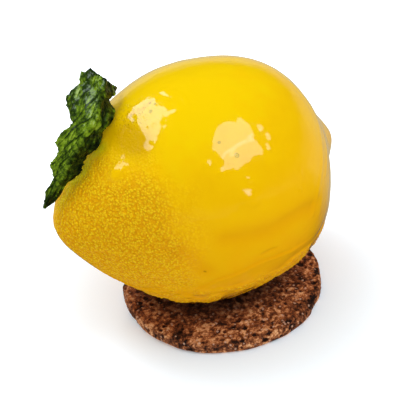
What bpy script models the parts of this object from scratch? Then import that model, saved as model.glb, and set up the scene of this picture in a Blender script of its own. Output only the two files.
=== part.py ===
"""A lemon-shaped glazed dessert on a round cocoa biscuit, with one mint leaf laid on its stem end.

Three pieces, each a closed solid with its own name:
  biscuit_base  thin round biscuit with a softly worn rim, underside flat on the table
  lemon_body    the moulded lemon in its glaze, lying on its side on a small flat spot
  leaf          a creased mint leaf, folded along its midrib, lying on the stem end

Row frame, in metres: the origin is the centre of the biscuit's underside, +Z is up, and +X runs
along the lemon from its stem end to its nipple. The pieces that rest on each other stay a small
gap apart, so that every solid is separate.
"""

import math

import bpy
import numpy as np

# ---- driving dimensions, metres ----
REST_GAP = 0.0003            # between two pieces that rest on each other

BISCUIT_RADIUS = 0.0258
BISCUIT_THICKNESS = 0.0036
BISCUIT_EDGE = 0.0011        # radius of the worn edges
BISCUIT_UNEVEN = 0.0003      # how far the rim wanders in and out
BISCUIT_DIP = 0.00015        # how far the open part of the top dips

LEMON_RADIUS = 0.0303        # at the thickest ring
LEMON_STEM_LENGTH = 0.0390   # thickest ring to the stem end
LEMON_NOSE_LENGTH = 0.0330   # thickest ring to the shoulder behind the nipple
NIPPLE_HEIGHT = 0.0049
NIPPLE_RADIUS = 0.0071
STEM_SLIMMING = 0.44         # share of the radius that the stem half loses towards its end
STEM_FULLNESS = 2.15         # power along the axis; 2 is an egg, more is fuller
NOSE_FULLNESS = (2.37, 2.59)   # superellipse powers along and across the blunt half
LEMON_CENTRE = (-0.0024, 0.0047)   # thickest ring's centre, in plan, from the biscuit's centre
FLAT_SPOT_DEPTH = 0.0004     # how much of the roundness the flat spot takes away

LEAF_THICKNESS = 0.0007
LEAF_CREASE = 0.00035        # height of the puckers between the veins
LEAF_TOOTH = 0.0007          # depth of the saw teeth
LEAF_TEETH = 13
LEAF_SIDE_VEINS = 9

# Swellings and hollows that make the body a real lemon rather than a turned shape:
# (distance along the axis from the thickest ring, angle round it from +Y, height, spread)
SWELLS = (
    (0.030, -175.0, -0.0008, 0.0065),
    (0.027, 88.0, 0.0008, 0.0080),
    (-0.014, 46.0, -0.0008, 0.0080),
    (-0.010, -128.0, 0.0004, 0.0080),
    (-0.021, 103.0, -0.0009, 0.0060),
)

LEMON_RINGS, LEMON_SEGMENTS = 58, 56
LEAF_STEPS, LEAF_HALF = 64, 7
BISCUIT_SEGMENTS = 72

LEMON_BOTTOM = BISCUIT_THICKNESS + REST_GAP
LEMON_AXIS_HEIGHT = LEMON_BOTTOM - FLAT_SPOT_DEPTH + LEMON_RADIUS


def clear_scene():
    """Removes every object, so that only this part remains."""
    for item in list(bpy.data.objects):
        bpy.data.objects.remove(item, do_unlink=True)


def finish(name, colour, roughness, coat=0.0):
    """A plain material for one piece."""
    material = bpy.data.materials.new(name)
    material.use_nodes = True
    shader = material.node_tree.nodes["Principled BSDF"]
    shader.inputs["Base Color"].default_value = (*colour, 1.0)
    shader.inputs["Roughness"].default_value = roughness
    shader.inputs["Metallic"].default_value = 0.0
    shader.inputs["Coat Weight"].default_value = coat
    return material


def add_solid(name, points, faces, material):
    """Links one closed mesh, shaded smooth, to the scene."""
    mesh = bpy.data.meshes.new(name)
    mesh.from_pydata([tuple(p) for p in points], [], [tuple(int(i) for i in f) for f in faces])
    mesh.materials.append(material)
    mesh.polygons.foreach_set("use_smooth", [True] * len(mesh.polygons))
    mesh.update()
    item = bpy.data.objects.new(name, mesh)
    bpy.context.scene.collection.objects.link(item)
    return item


def ring_faces(rings, segments):
    """Quads between neighbouring rings of points, closed round each ring."""
    faces = []
    for i in range(rings - 1):
        for j in range(segments):
            k = (j + 1) % segments
            faces.append((i * segments + j, (i + 1) * segments + j, (i + 1) * segments + k, i * segments + k))
    return faces


def lemon_profile(angle):
    """Distance along the axis and radius of the body for a profile angle, 0 at the stem end, pi at the nose."""
    along, across = np.cos(angle), np.sin(angle)
    stem_x = -LEMON_STEM_LENGTH * np.abs(along) ** (2.0 / STEM_FULLNESS)
    stem_r = LEMON_RADIUS * across * (1.0 - STEM_SLIMMING * along ** 2)
    nose_x = LEMON_NOSE_LENGTH * np.abs(along) ** (2.0 / NOSE_FULLNESS[0])
    nose_r = LEMON_RADIUS * across ** (2.0 / NOSE_FULLNESS[1])
    x = np.where(along > 0.0, stem_x, nose_x)
    r = np.where(along > 0.0, stem_r, nose_r)
    on_nose = 1.0 / (1.0 + np.exp(-(x - 0.3 * LEMON_NOSE_LENGTH) / 0.002))
    nipple = NIPPLE_HEIGHT * np.exp(-((r / NIPPLE_RADIUS) ** 2)) * on_nose * (x > 0.0)
    return x + nipple, r


def swelling(x, r, turn):
    """How far the skin stands out from the turned shape at a place on it."""
    out = np.zeros_like(x)
    for place, degrees, height, spread in SWELLS:
        side = turn - math.radians(degrees)
        side = (side + math.pi) % (2.0 * math.pi) - math.pi
        away = (x - place) ** 2 + (r * side) ** 2
        out = out + height * np.exp(-away / (2.0 * spread ** 2))
    return out


def make_lemon():
    """The lemon body: rings from the stem end to the nipple, each end closed by a fan."""
    angle = np.linspace(0.0, math.pi, LEMON_RINGS + 2)[1:-1]
    turn = np.linspace(0.0, 2.0 * math.pi, LEMON_SEGMENTS, endpoint=False)
    x, r = lemon_profile(angle)
    x = np.repeat(x[:, None], LEMON_SEGMENTS, axis=1)
    r = np.repeat(r[:, None], LEMON_SEGMENTS, axis=1)
    turn = np.repeat(turn[None, :], LEMON_RINGS, axis=0)
    r = r + swelling(x, r, turn)
    y = LEMON_CENTRE[1] + r * np.cos(turn)
    z = np.maximum(LEMON_AXIS_HEIGHT + r * np.sin(turn), LEMON_BOTTOM)
    body = np.stack([x + LEMON_CENTRE[0], y, z], axis=-1).reshape(-1, 3)
    ends = np.zeros((2, 3))
    ends[:, 0] = lemon_profile(np.array([0.0, math.pi]))[0] + LEMON_CENTRE[0]
    ends[:, 1] = LEMON_CENTRE[1]
    ends[:, 2] = LEMON_AXIS_HEIGHT
    points = np.concatenate([body, ends])
    faces = [(a, d, c, b) for a, b, c, d in ring_faces(LEMON_RINGS, LEMON_SEGMENTS)]
    stem, nose = len(body), len(body) + 1
    last = (LEMON_RINGS - 1) * LEMON_SEGMENTS
    for j in range(LEMON_SEGMENTS):
        k = (j + 1) % LEMON_SEGMENTS
        faces.append((stem, k, j))
        faces.append((nose, last + j, last + k))
    return add_solid("lemon_body", points, faces, finish("lemon_glaze", (0.90, 0.60, 0.02), 0.12, 1.0))


def make_biscuit():
    """The biscuit: one closed stack of rings, up the rim and in over the top, flat underneath."""
    turn = np.linspace(0.0, 2.0 * math.pi, BISCUIT_SEGMENTS, endpoint=False)
    wander = 0.5 * np.sin(5.0 * turn + 0.6) + 0.3 * np.sin(11.0 * turn + 2.1) + 0.2 * np.sin(17.0 * turn)
    rim = BISCUIT_RADIUS + BISCUIT_UNEVEN * wander
    rings = []
    for share in (0.25, 0.5, 0.75):
        rings.append((rim * share, np.zeros_like(rim)))
    for step in range(7):
        lean = -0.5 * math.pi + 0.5 * math.pi * step / 6.0
        rings.append((rim - BISCUIT_EDGE * (1.0 - math.cos(lean)), BISCUIT_EDGE * (1.0 + math.sin(lean)) + 0.0 * rim))
    for step in range(7):
        lean = 0.5 * math.pi * step / 6.0
        height = BISCUIT_THICKNESS - BISCUIT_EDGE * (1.0 - math.sin(lean))
        rings.append((rim - BISCUIT_EDGE * (1.0 - math.cos(lean)), height + 0.0 * rim))
    for share in (0.9, 0.8, 0.68, 0.54, 0.4, 0.2):
        dip = BISCUIT_DIP * (0.5 + 0.5 * np.sin(7.0 * turn + 9.0 * share)) * (share > 0.3)
        rings.append(((rim - BISCUIT_EDGE) * share, BISCUIT_THICKNESS - dip))
    layers = [np.stack([r * np.cos(turn), r * np.sin(turn), z], axis=-1) for r, z in rings]
    points = np.concatenate(layers + [np.array([[0.0, 0.0, 0.0], [0.0, 0.0, BISCUIT_THICKNESS]])])
    count = len(rings)
    faces = [(a, d, c, b) for a, b, c, d in ring_faces(count, BISCUIT_SEGMENTS)]
    under, top = count * BISCUIT_SEGMENTS, count * BISCUIT_SEGMENTS + 1
    last = (count - 1) * BISCUIT_SEGMENTS
    for j in range(BISCUIT_SEGMENTS):
        k = (j + 1) % BISCUIT_SEGMENTS
        faces.append((under, k, j))
        faces.append((top, last + j, last + k))
    return add_solid("biscuit_base", points, faces, finish("cocoa_biscuit", (0.17, 0.065, 0.03), 0.9))


# ---- the leaf: its midrib runs from the narrow end, by the stem, to the broad end on top ----
MIDRIB = (
    (-0.0432, 0.0065, 0.0400),
    (-0.0383, 0.0048, 0.0487),
    (-0.0335, 0.0047, 0.0559),
    (-0.0267, 0.0072, 0.0614),
    (-0.0201, 0.0158, 0.0651),
)
# the way each half leaves the midrib, at the narrow end and at the broad end
NEAR_HALF = ((0.81, 0.11, -0.57), (0.54, 0.37, -0.76))    # down to the lemon's skin
FAR_HALF = ((-0.55, 0.74, -0.38), (-0.25, 0.96, 0.08))    # out over the back
# widths of the two halves at even steps from the narrow end to the broad end
NEAR_HALF_WIDTHS = (0.0003, 0.0014, 0.0030, 0.0042, 0.0049, 0.0054, 0.0066, 0.0048, 0.0072)
FAR_HALF_WIDTHS = (0.0003, 0.0023, 0.0035, 0.0052, 0.0070, 0.0078, 0.0087, 0.0104, 0.0064)


def through(values, t):
    """A smooth curve through evenly spaced values, numbers or points, at places t from 0 to 1."""
    values = np.asarray(values, float)
    padded = np.concatenate([2.0 * values[:1] - values[1:2], values, 2.0 * values[-1:] - values[-2:-1]])
    place = np.clip(t, 0.0, 1.0) * (len(values) - 1)
    index = np.clip(np.floor(place).astype(int), 0, len(values) - 2)
    share = place - index
    if values.ndim > 1:
        share = share[..., None]
    before, here, there, beyond = (padded[index + k] for k in range(4))
    bend = (there - before) * share
    bend = bend + (2.0 * before - 5.0 * here + 4.0 * there - beyond) * share ** 2
    bend = bend + (3.0 * here - before - 3.0 * there + beyond) * share ** 3
    return here + 0.5 * bend


def half_direction(ends, t):
    """The way one half of the leaf leaves the midrib; it turns only near the broad end."""
    first, last = np.array(ends[0]), np.array(ends[1])
    way = first + (last - first) * (t ** 4)[..., None]
    return way / np.linalg.norm(way, axis=-1, keepdims=True)


def clear_of_lemon(points, gap):
    """Moves points that are nearer to the lemon's skin than gap straight out from its axis."""
    fine = np.linspace(0.0, math.pi, 1201)
    px, pr = lemon_profile(fine)
    x = points[..., 0] - LEMON_CENTRE[0]
    y = points[..., 1] - LEMON_CENTRE[1]
    z = points[..., 2] - LEMON_AXIS_HEIGHT
    r = np.hypot(y, z)
    away = np.hypot(px[None, :] - x.reshape(-1, 1), pr[None, :] - r.reshape(-1, 1))
    nearest = away.argmin(axis=1)
    step = np.gradient(px), np.gradient(pr)
    length = np.hypot(*step)
    out_x, out_r = -step[1][nearest] / length[nearest], step[0][nearest] / length[nearest]
    skin = swelling(px[nearest], pr[nearest], np.arctan2(z, y).reshape(-1))
    dx = x.reshape(-1) - px[nearest]
    dr = r.reshape(-1) - pr[nearest]
    height = dx * out_x + dr * out_r - np.maximum(skin, 0.0)
    push = np.maximum(gap - height, 0.0).reshape(x.shape)
    moved = points.copy()
    moved[..., 0] += push * out_x.reshape(x.shape)
    moved[..., 1] += push * out_r.reshape(x.shape) * y / np.maximum(r, 1e-6)
    moved[..., 2] += push * out_r.reshape(x.shape) * z / np.maximum(r, 1e-6)
    return moved


def leaf_surface(t, across):
    """The leaf's middle surface. across is -1 at the near margin, 0 on the midrib, 1 at the far margin."""
    near_side = across < 0.0
    width = np.where(near_side, through(NEAR_HALF_WIDTHS, t), through(FAR_HALF_WIDTHS, t))
    taper = np.clip(np.minimum(t, 1.0 - t) / 0.06, 0.0, 1.0) * np.clip(width / 0.004, 0.0, 1.0)
    tooth = LEAF_TOOTH * ((t * LEAF_TEETH) % 1.0 - 0.5) * taper
    reach = np.abs(across) * (width + tooth * np.abs(across) ** 4)
    side = np.where(near_side[..., None], half_direction(NEAR_HALF, t), half_direction(FAR_HALF, t))
    normal = np.cross(half_direction(FAR_HALF, t), half_direction(NEAR_HALF, t))
    normal = normal / np.linalg.norm(normal, axis=-1, keepdims=True)
    along = np.array(MIDRIB[-1]) - np.array(MIDRIB[0])
    along = along / np.linalg.norm(along)
    up = np.cross(along, normal)
    up = np.cross(up, along)
    crease = LEAF_CREASE * np.sin(2.0 * math.pi * LEAF_SIDE_VEINS * (t - 0.10 * np.abs(across)))
    crease = crease * np.sin(math.pi * np.abs(across)) * taper
    soften = 0.0004 * np.exp(-(reach / 0.0010) ** 2) * taper
    return through(MIDRIB, t) + side * reach[..., None] + up * (crease - soften)[..., None]


def make_leaf():
    """The leaf: an upper and a lower sheet, a leaf's thickness apart, sewn together round the margin."""
    t = np.linspace(0.0, 1.0, LEAF_STEPS)
    across = np.linspace(-1.0, 1.0, 2 * LEAF_HALF + 1)
    tt, aa = np.meshgrid(t, across, indexing="ij")
    middle = clear_of_lemon(leaf_surface(tt, aa), REST_GAP + 0.55 * LEAF_THICKNESS)
    along = np.gradient(middle, axis=0)
    sideways = np.gradient(middle, axis=1)
    normal = np.cross(sideways, along)
    normal /= np.linalg.norm(normal, axis=-1, keepdims=True) + 1e-12
    edge = np.minimum(1.0 - np.abs(aa), np.minimum(tt, 1.0 - tt) * 6.0)
    half = 0.5 * LEAF_THICKNESS * (0.55 + 0.45 * np.clip(edge * 4.0, 0.0, 1.0))[..., None]
    upper, lower = middle + normal * half, middle - normal * half
    points = np.concatenate([upper.reshape(-1, 3), lower.reshape(-1, 3)])
    rows, columns = tt.shape
    under = rows * columns
    faces = []
    for i in range(rows - 1):
        for j in range(columns - 1):
            a, b = i * columns + j, i * columns + j + 1
            c, d = a + columns, b + columns
            faces.append((a, b, d, c))
            faces.append((under + a, under + c, under + d, under + b))
    border = [j for j in range(columns)]
    border += [i * columns + columns - 1 for i in range(1, rows)]
    border += [(rows - 1) * columns + j for j in range(columns - 2, -1, -1)]
    border += [i * columns for i in range(rows - 2, 0, -1)]
    for n, a in enumerate(border):
        b = border[(n + 1) % len(border)]
        faces.append((b, a, under + a, under + b))
    return add_solid("leaf", points, faces, finish("mint_leaf", (0.06, 0.16, 0.02), 0.45))


def main():
    """Builds the three pieces."""
    clear_scene()
    make_biscuit()
    make_lemon()
    make_leaf()


main()
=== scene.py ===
"""Finished looks of a lemon-shaped glazed dessert on a thin cocoa biscuit, with a mint leaf on its stem end.

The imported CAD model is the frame. Each of its three solids is replaced by a finely worked surface that
keeps its place and size: the lemon in its poured glaze, grainy at the stem end; the creased, saw-toothed
leaf; and the crumbly biscuit. Lengths are in metres. +X runs along the lemon from its stem end to its
nipple, +Z is up, and the origin is the centre of the biscuit's underside.
"""

from __future__ import annotations

import logging
import math
from dataclasses import dataclass
from enum import Enum
from typing import Any

import bpy
import numpy as np
from mathutils import Matrix, Vector


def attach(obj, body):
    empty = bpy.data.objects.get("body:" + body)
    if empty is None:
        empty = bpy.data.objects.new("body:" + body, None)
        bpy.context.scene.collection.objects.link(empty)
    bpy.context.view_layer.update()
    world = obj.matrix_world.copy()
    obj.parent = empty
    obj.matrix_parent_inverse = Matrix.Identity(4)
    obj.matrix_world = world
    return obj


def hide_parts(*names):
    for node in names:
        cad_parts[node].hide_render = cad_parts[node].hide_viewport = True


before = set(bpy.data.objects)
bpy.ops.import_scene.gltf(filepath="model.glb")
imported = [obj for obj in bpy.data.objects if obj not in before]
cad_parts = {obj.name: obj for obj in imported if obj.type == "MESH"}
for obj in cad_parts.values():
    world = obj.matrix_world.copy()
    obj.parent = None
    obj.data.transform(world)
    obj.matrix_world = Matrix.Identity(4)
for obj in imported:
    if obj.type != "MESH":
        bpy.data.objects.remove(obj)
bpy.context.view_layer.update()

logging.basicConfig(level=logging.INFO, format="%(message)s")
log = logging.getLogger("dessert")

MM = 0.001
TAU = 2.0 * math.pi
Array = np.ndarray
Item = bpy.types.Object
Place = tuple[float, float, float]
Colour = tuple[float, float, float]
Stops = tuple[tuple[float, Colour], ...]


class Side(Enum):
    """Which half of the leaf, seen from its narrow end."""

    NEAR = -1
    FAR = 1


# ---- number helpers

CELL_PRIMES = np.array([374761393, 668265263, 1440662683])
SEED_PRIME = 974634777
MIX_PRIME = 1274126177
WORD = 0xFFFFFFFF


def unit(value: Array) -> Array:
    """The same numbers, held between 0 and 1."""
    return np.clip(value, 0.0, 1.0)


def ease(value: Array, low: float, high: float) -> Array:
    """A step from 0 at low to 1 at high, 3s^2 - 2s^3 between; it falls where low is the larger."""
    share = unit((value - low) / (high - low))
    return share * share * (3.0 - 2.0 * share)


def joined(*parts: Any) -> Array:
    """Arrays of x, y and z, or of corner numbers, side by side on a new last axis."""
    return np.stack(parts, axis=-1)


def length(steps: Array) -> Array:
    """How long each step is, by its last axis."""
    return np.linalg.norm(steps, axis=-1)


def hill(distance: Array, width: float) -> Array:
    """A bell of height 1: exp of minus the squared share of width."""
    return np.exp(-((distance / width) ** 2))


def cell_number(cell: Array, seed: int) -> Array:
    """A repeatable number from 0 to 1 for each whole-number cell, by integer mixing.

    Args:
        cell: whole numbers, last axis x, y, z.
        seed: chooses another set of numbers.

    Returns:
        One number for each cell.
    """
    mixed = ((cell * CELL_PRIMES).sum(axis=-1) + seed * SEED_PRIME) & WORD
    mixed = ((mixed ^ (mixed >> 13)) * MIX_PRIME) & WORD
    mixed = mixed ^ (mixed >> 16)
    return mixed / WORD


def rolling(points: Array, size: float, seed: int) -> Array:
    """Rounded hills from -1 to 1: random heights at the corners of a cubic grid, blended by a quintic.

    Args:
        points: places, last axis x, y, z.
        size: spacing of the grid, about the width of a hill.
        seed: chooses another set of hills.

    Returns:
        One height for each place.
    """
    place = points / size
    cell = np.floor(place).astype(np.int64)
    share = place - cell
    soft = share ** 3 * (share * (share * 6.0 - 15.0) + 10.0)
    total = np.zeros(points.shape[:-1])
    for corner in np.ndindex(2, 2, 2):
        step = np.array(corner)
        weight = np.prod(np.where(step == 1, soft, 1.0 - soft), axis=-1)
        total = total + weight * cell_number(cell + step, seed)
    return 2.0 * total - 1.0


def crumbs(points: Array, size: float, seed: int) -> tuple[Array, Array, Array]:
    """Cells round scattered seeds, one seed at a random place in each cube of a grid.

    Args:
        points: places, last axis x, y, z.
        size: edge of a cube, about the width of a cell.
        seed: chooses another scatter.

    Returns:
        Distances to the nearest seed and to the next one, in cube edges, and the nearest seed's own number.
    """
    place = points / size
    cell = np.floor(place).astype(np.int64)
    first = np.full(points.shape[:-1], 9.0)
    second = np.full(points.shape[:-1], 9.0)
    owner = np.zeros(points.shape[:-1])
    for corner in np.ndindex(3, 3, 3):
        near = cell + (np.array(corner) - 1)
        spot = joined(*(cell_number(near, seed + 11 * axis) for axis in range(3)))
        away = np.sqrt(((near + spot - place) ** 2).sum(axis=-1))
        closer = away < first
        second = np.where(closer, first, np.minimum(second, away))
        owner = np.where(closer, cell_number(near, seed + 77), owner)
        first = np.where(closer, away, first)
    return first, second, owner


def through(values: Any, place: Array) -> Array:
    """A smooth curve through evenly spaced values, by the Catmull-Rom cubic.

    Args:
        values: numbers or points, the first at place 0 and the last at place 1.
        place: where to read the curve, from 0 to 1.

    Returns:
        The value at each place.
    """
    known = np.asarray(values, float)
    padded = np.concatenate([2.0 * known[:1] - known[1:2], known, 2.0 * known[-1:] - known[-2:-1]])
    step = unit(place) * (len(known) - 1)
    index = np.clip(np.floor(step).astype(int), 0, len(known) - 2)
    share = step - index
    if known.ndim > 1:
        share = share[..., None]
    before, here, there, beyond = (padded[index + k] for k in range(4))
    rise = (there - before) * share
    rise = rise + (2.0 * before - 5.0 * here + 4.0 * there - beyond) * share ** 2
    rise = rise + (3.0 * here - before - 3.0 * there + beyond) * share ** 3
    return here + 0.5 * rise


def outward(grid: Array, wrap: bool) -> Array:
    """Unit normals of a grid of points: the cross product of the steps along its two directions.

    Args:
        grid: rows by columns by 3.
        wrap: True where the last column meets the first.

    Returns:
        Rows by columns by 3.
    """
    down = np.gradient(grid, axis=0)
    if wrap:
        along = np.roll(grid, -1, axis=1) - np.roll(grid, 1, axis=1)
    else:
        along = np.gradient(grid, axis=1)
    normal = np.cross(along, down)
    return normal / (np.linalg.norm(normal, axis=-1, keepdims=True) + 1e-15)


# ---- mesh helpers


def grid_quads(rows: int, columns: int, wrap: bool) -> Array:
    """Corner numbers of the quads between neighbouring grid points.

    Args:
        rows: rows of points.
        columns: points in a row.
        wrap: True to join the last column to the first.

    Returns:
        One row of four corners for each quad.
    """
    i = np.arange(rows - 1)[:, None]
    j = np.arange(columns if wrap else columns - 1)[None, :]
    k = (j + 1) % columns
    corners = [i * columns + j, i * columns + k, (i + 1) * columns + k, (i + 1) * columns + j]
    return joined(*(c + 0 * (i + j) for c in corners)).reshape(-1, 4)


def new_mesh(name: str, points: Array, *faces: Array) -> Item:
    """Makes one smooth-shaded object at the origin.

    Args:
        name: the piece's name.
        points: corner places.
        faces: arrays of quads or triangles, as rows of corner numbers.

    Returns:
        The object, linked to the scene.
    """
    mesh = bpy.data.meshes.new(name)
    every = [face for some in faces for face in some.tolist()]
    mesh.from_pydata(points.tolist(), [], every, shade_flat=False)
    mesh.validate()
    item = bpy.data.objects.new(name, mesh)
    bpy.context.scene.collection.objects.link(item)
    return item


def capped_tube(name: str, grid: Array, first: Array, last: Array) -> Item:
    """A closed skin from rings of points: quads between the rings and a fan over each end.

    Args:
        name: the piece's name.
        grid: rings by points by 3, wound so that faces point outwards.
        first: the point that closes the first ring.
        last: the point that closes the last ring.

    Returns:
        The object.
    """
    rows, columns, _ = grid.shape
    points = np.concatenate([grid.reshape(-1, 3), first[None], last[None]])
    j = np.arange(columns)
    k = (j + 1) % columns
    pole = np.full(columns, rows * columns)
    end = (rows - 1) * columns
    start = joined(pole, k, j)
    stop = joined(pole + 1, end + j, end + k)
    return new_mesh(name, points, grid_quads(rows, columns, True), start, stop)


def paint(item: Item, name: str, values: Array) -> None:
    """Stores one number at each corner point of a piece under a name, for its material to read."""
    layer = item.data.attributes.new(name, "FLOAT", "POINT")
    layer.data.foreach_set("value", np.ascontiguousarray(values, np.float32).ravel())


# ---- material helpers


class Shade:
    """One output socket of a material, on which + - * and / add Math nodes."""

    def __init__(self, mixer: Mixer, socket: bpy.types.NodeSocket) -> None:
        """Keeps the socket and the material it belongs to."""
        self.mixer = mixer
        self.socket = socket

    def __add__(self, other: Any) -> Shade:
        """self + other."""
        return self.mixer.math("ADD", self, other)

    def __radd__(self, other: Any) -> Shade:
        """other + self."""
        return self.mixer.math("ADD", other, self)

    def __sub__(self, other: Any) -> Shade:
        """self - other."""
        return self.mixer.math("SUBTRACT", self, other)

    def __rsub__(self, other: Any) -> Shade:
        """other - self."""
        return self.mixer.math("SUBTRACT", other, self)

    def __mul__(self, other: Any) -> Shade:
        """self * other."""
        return self.mixer.math("MULTIPLY", self, other)

    def __rmul__(self, other: Any) -> Shade:
        """other * self."""
        return self.mixer.math("MULTIPLY", other, self)

    def __truediv__(self, other: Any) -> Shade:
        """self / other."""
        return self.mixer.math("DIVIDE", self, other)

    def step(self, low: float, high: float) -> Shade:
        """A soft step from 0 at low to 1 at high."""
        inputs = {"Value": self, "From Min": low, "From Max": high}
        return self.mixer.add("MapRange", inputs, "Result", interpolation_type="SMOOTHSTEP")


class Mixer:
    """Builds one node material, or the air of a world. Every finish is worked out with it."""

    def __init__(self, name: str, world: bpy.types.World | None = None) -> None:
        """Starts an empty node tree with its output node."""
        self.material = world or bpy.data.materials.new(name)
        self.material.use_nodes = True
        self.tree = self.material.node_tree
        self.tree.nodes.clear()
        self.output = self.tree.nodes.new("ShaderNodeOutputWorld" if world else "ShaderNodeOutputMaterial")

    def feed(self, socket: bpy.types.NodeSocket, value: Any) -> None:
        """Links or sets one input socket."""
        if isinstance(value, Shade):
            self.tree.links.new(value.socket, socket)
        elif isinstance(value, tuple) and socket.type == "RGBA":
            socket.default_value = (*value, 1.0)
        else:
            socket.default_value = value

    def add(self, kind: str, inputs: dict[Any, Any] | None = None, output: Any = 0, **settings: Any) -> Shade:
        """Adds one node.

        Args:
            kind: the node's type, without its ShaderNode prefix.
            inputs: a value or a Shade for each named or numbered input.
            output: the name or number of the output that is wanted.
            settings: the node's own options, set before its sockets; "stops" fills a ramp.

        Returns:
            That output.
        """
        made = self.tree.nodes.new("ShaderNode" + kind)
        for key, value in settings.items():
            if key == "stops":
                self._fill_ramp(made, value)
            else:
                setattr(made, key, value)
        for key, value in (inputs or {}).items():
            self.feed(made.inputs[key], value)
        return Shade(self, made.outputs[output])

    @staticmethod
    def _fill_ramp(ramp: bpy.types.Node, stops: Stops) -> None:
        """Sets a ramp's stops, places and colours."""
        elements = ramp.color_ramp.elements
        while len(elements) < len(stops):
            elements.new(0.5)
        for element, (place, colour) in zip(elements, stops):
            element.position = place
            element.color = (*colour, 1.0)

    def math(self, operation: str, first: Any, second: Any) -> Shade:
        """One Math node's result."""
        return self.add("Math", {0: first, 1: second}, operation=operation)

    def off(self, value: Shade, middle: float) -> Shade:
        """How far a value is off a middle one, never negative."""
        return self.math("ABSOLUTE", value - middle, 0.0)

    def place(self) -> Shade:
        """Object coordinates, in metres."""
        return self.add("TexCoord", output="Object")

    def axis(self, name: str, place: Shade | None = None) -> Shade:
        """The X, Y or Z of a place, which is the point of the piece unless another is given."""
        return self.add("SeparateXYZ", {0: place or self.place()}, name)

    def distance(self, place: Place) -> Shade:
        """How far a point of the piece is from a fixed place, in metres."""
        return self.add("VectorMath", {0: self.place(), 1: place}, "Value", operation="DISTANCE")

    def painted(self, name: str) -> Shade:
        """A number stored on the piece."""
        return self.add("Attribute", output="Fac", attribute_name=name)

    def noise(self, size: float, detail: float = 2.0, rough: float = 0.5) -> Shade:
        """Cloudy noise from 0 to 1 whose patches are about size across, in metres."""
        inputs = {"Vector": self.place(), "Scale": 1.0 / size, "Detail": detail, "Roughness": rough}
        return self.add("TexNoise", inputs)

    def cells(self, size: float, output: str = "Distance") -> Shade:
        """Cellular noise whose cells are about size across, in metres."""
        return self.add("TexVoronoi", {"Vector": self.place(), "Scale": 1.0 / size}, output)

    def blend(self, share: Any, first: Any, second: Any) -> Shade:
        """A mix of two colours."""
        return self.add("Mix", {0: share, 6: first, 7: second}, 2, data_type="RGBA")

    def ramp(self, share: Shade, stops: Stops) -> Shade:
        """A colour read from a row of stops."""
        return self.add("ValToRGB", {"Fac": share}, "Color", stops=stops)

    def bump(self, height: Shade, depth: float) -> Shade:
        """A bumped normal; height 1 stands depth metres proud."""
        return self.add("Bump", {"Height": height, "Distance": depth, "Strength": 1.0}, "Normal")

    def glow(self, strength: Any, colour: Colour = (1.0, 1.0, 1.0)) -> Shade:
        """Light given off by a surface."""
        return self.add("Emission", {"Color": colour, "Strength": strength})

    def sky(self, strength: Any, colour: Colour) -> Shade:
        """Light that comes in from all round."""
        return self.add("Background", {"Color": colour, "Strength": strength})

    def where_ray(self, kind: str, shown: Shade, others: Shade) -> Shade:
        """The shader shown to one kind of ray, with the others' shader for all the rest."""
        share = self.add("LightPath", output=f"Is {kind} Ray")
        return self.add("MixShader", {0: share, 1: others, 2: shown})

    def close(self, shader: Shade) -> Any:
        """Gives the tree its shader and hands back the material or the world."""
        self.feed(self.output.inputs["Surface"], shader)
        return self.material

    def finish(self, inputs: dict[str, Any]) -> bpy.types.Material:
        """Closes the material with one Principled shader of these inputs."""
        return self.close(self.add("BsdfPrincipled", inputs))


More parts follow.
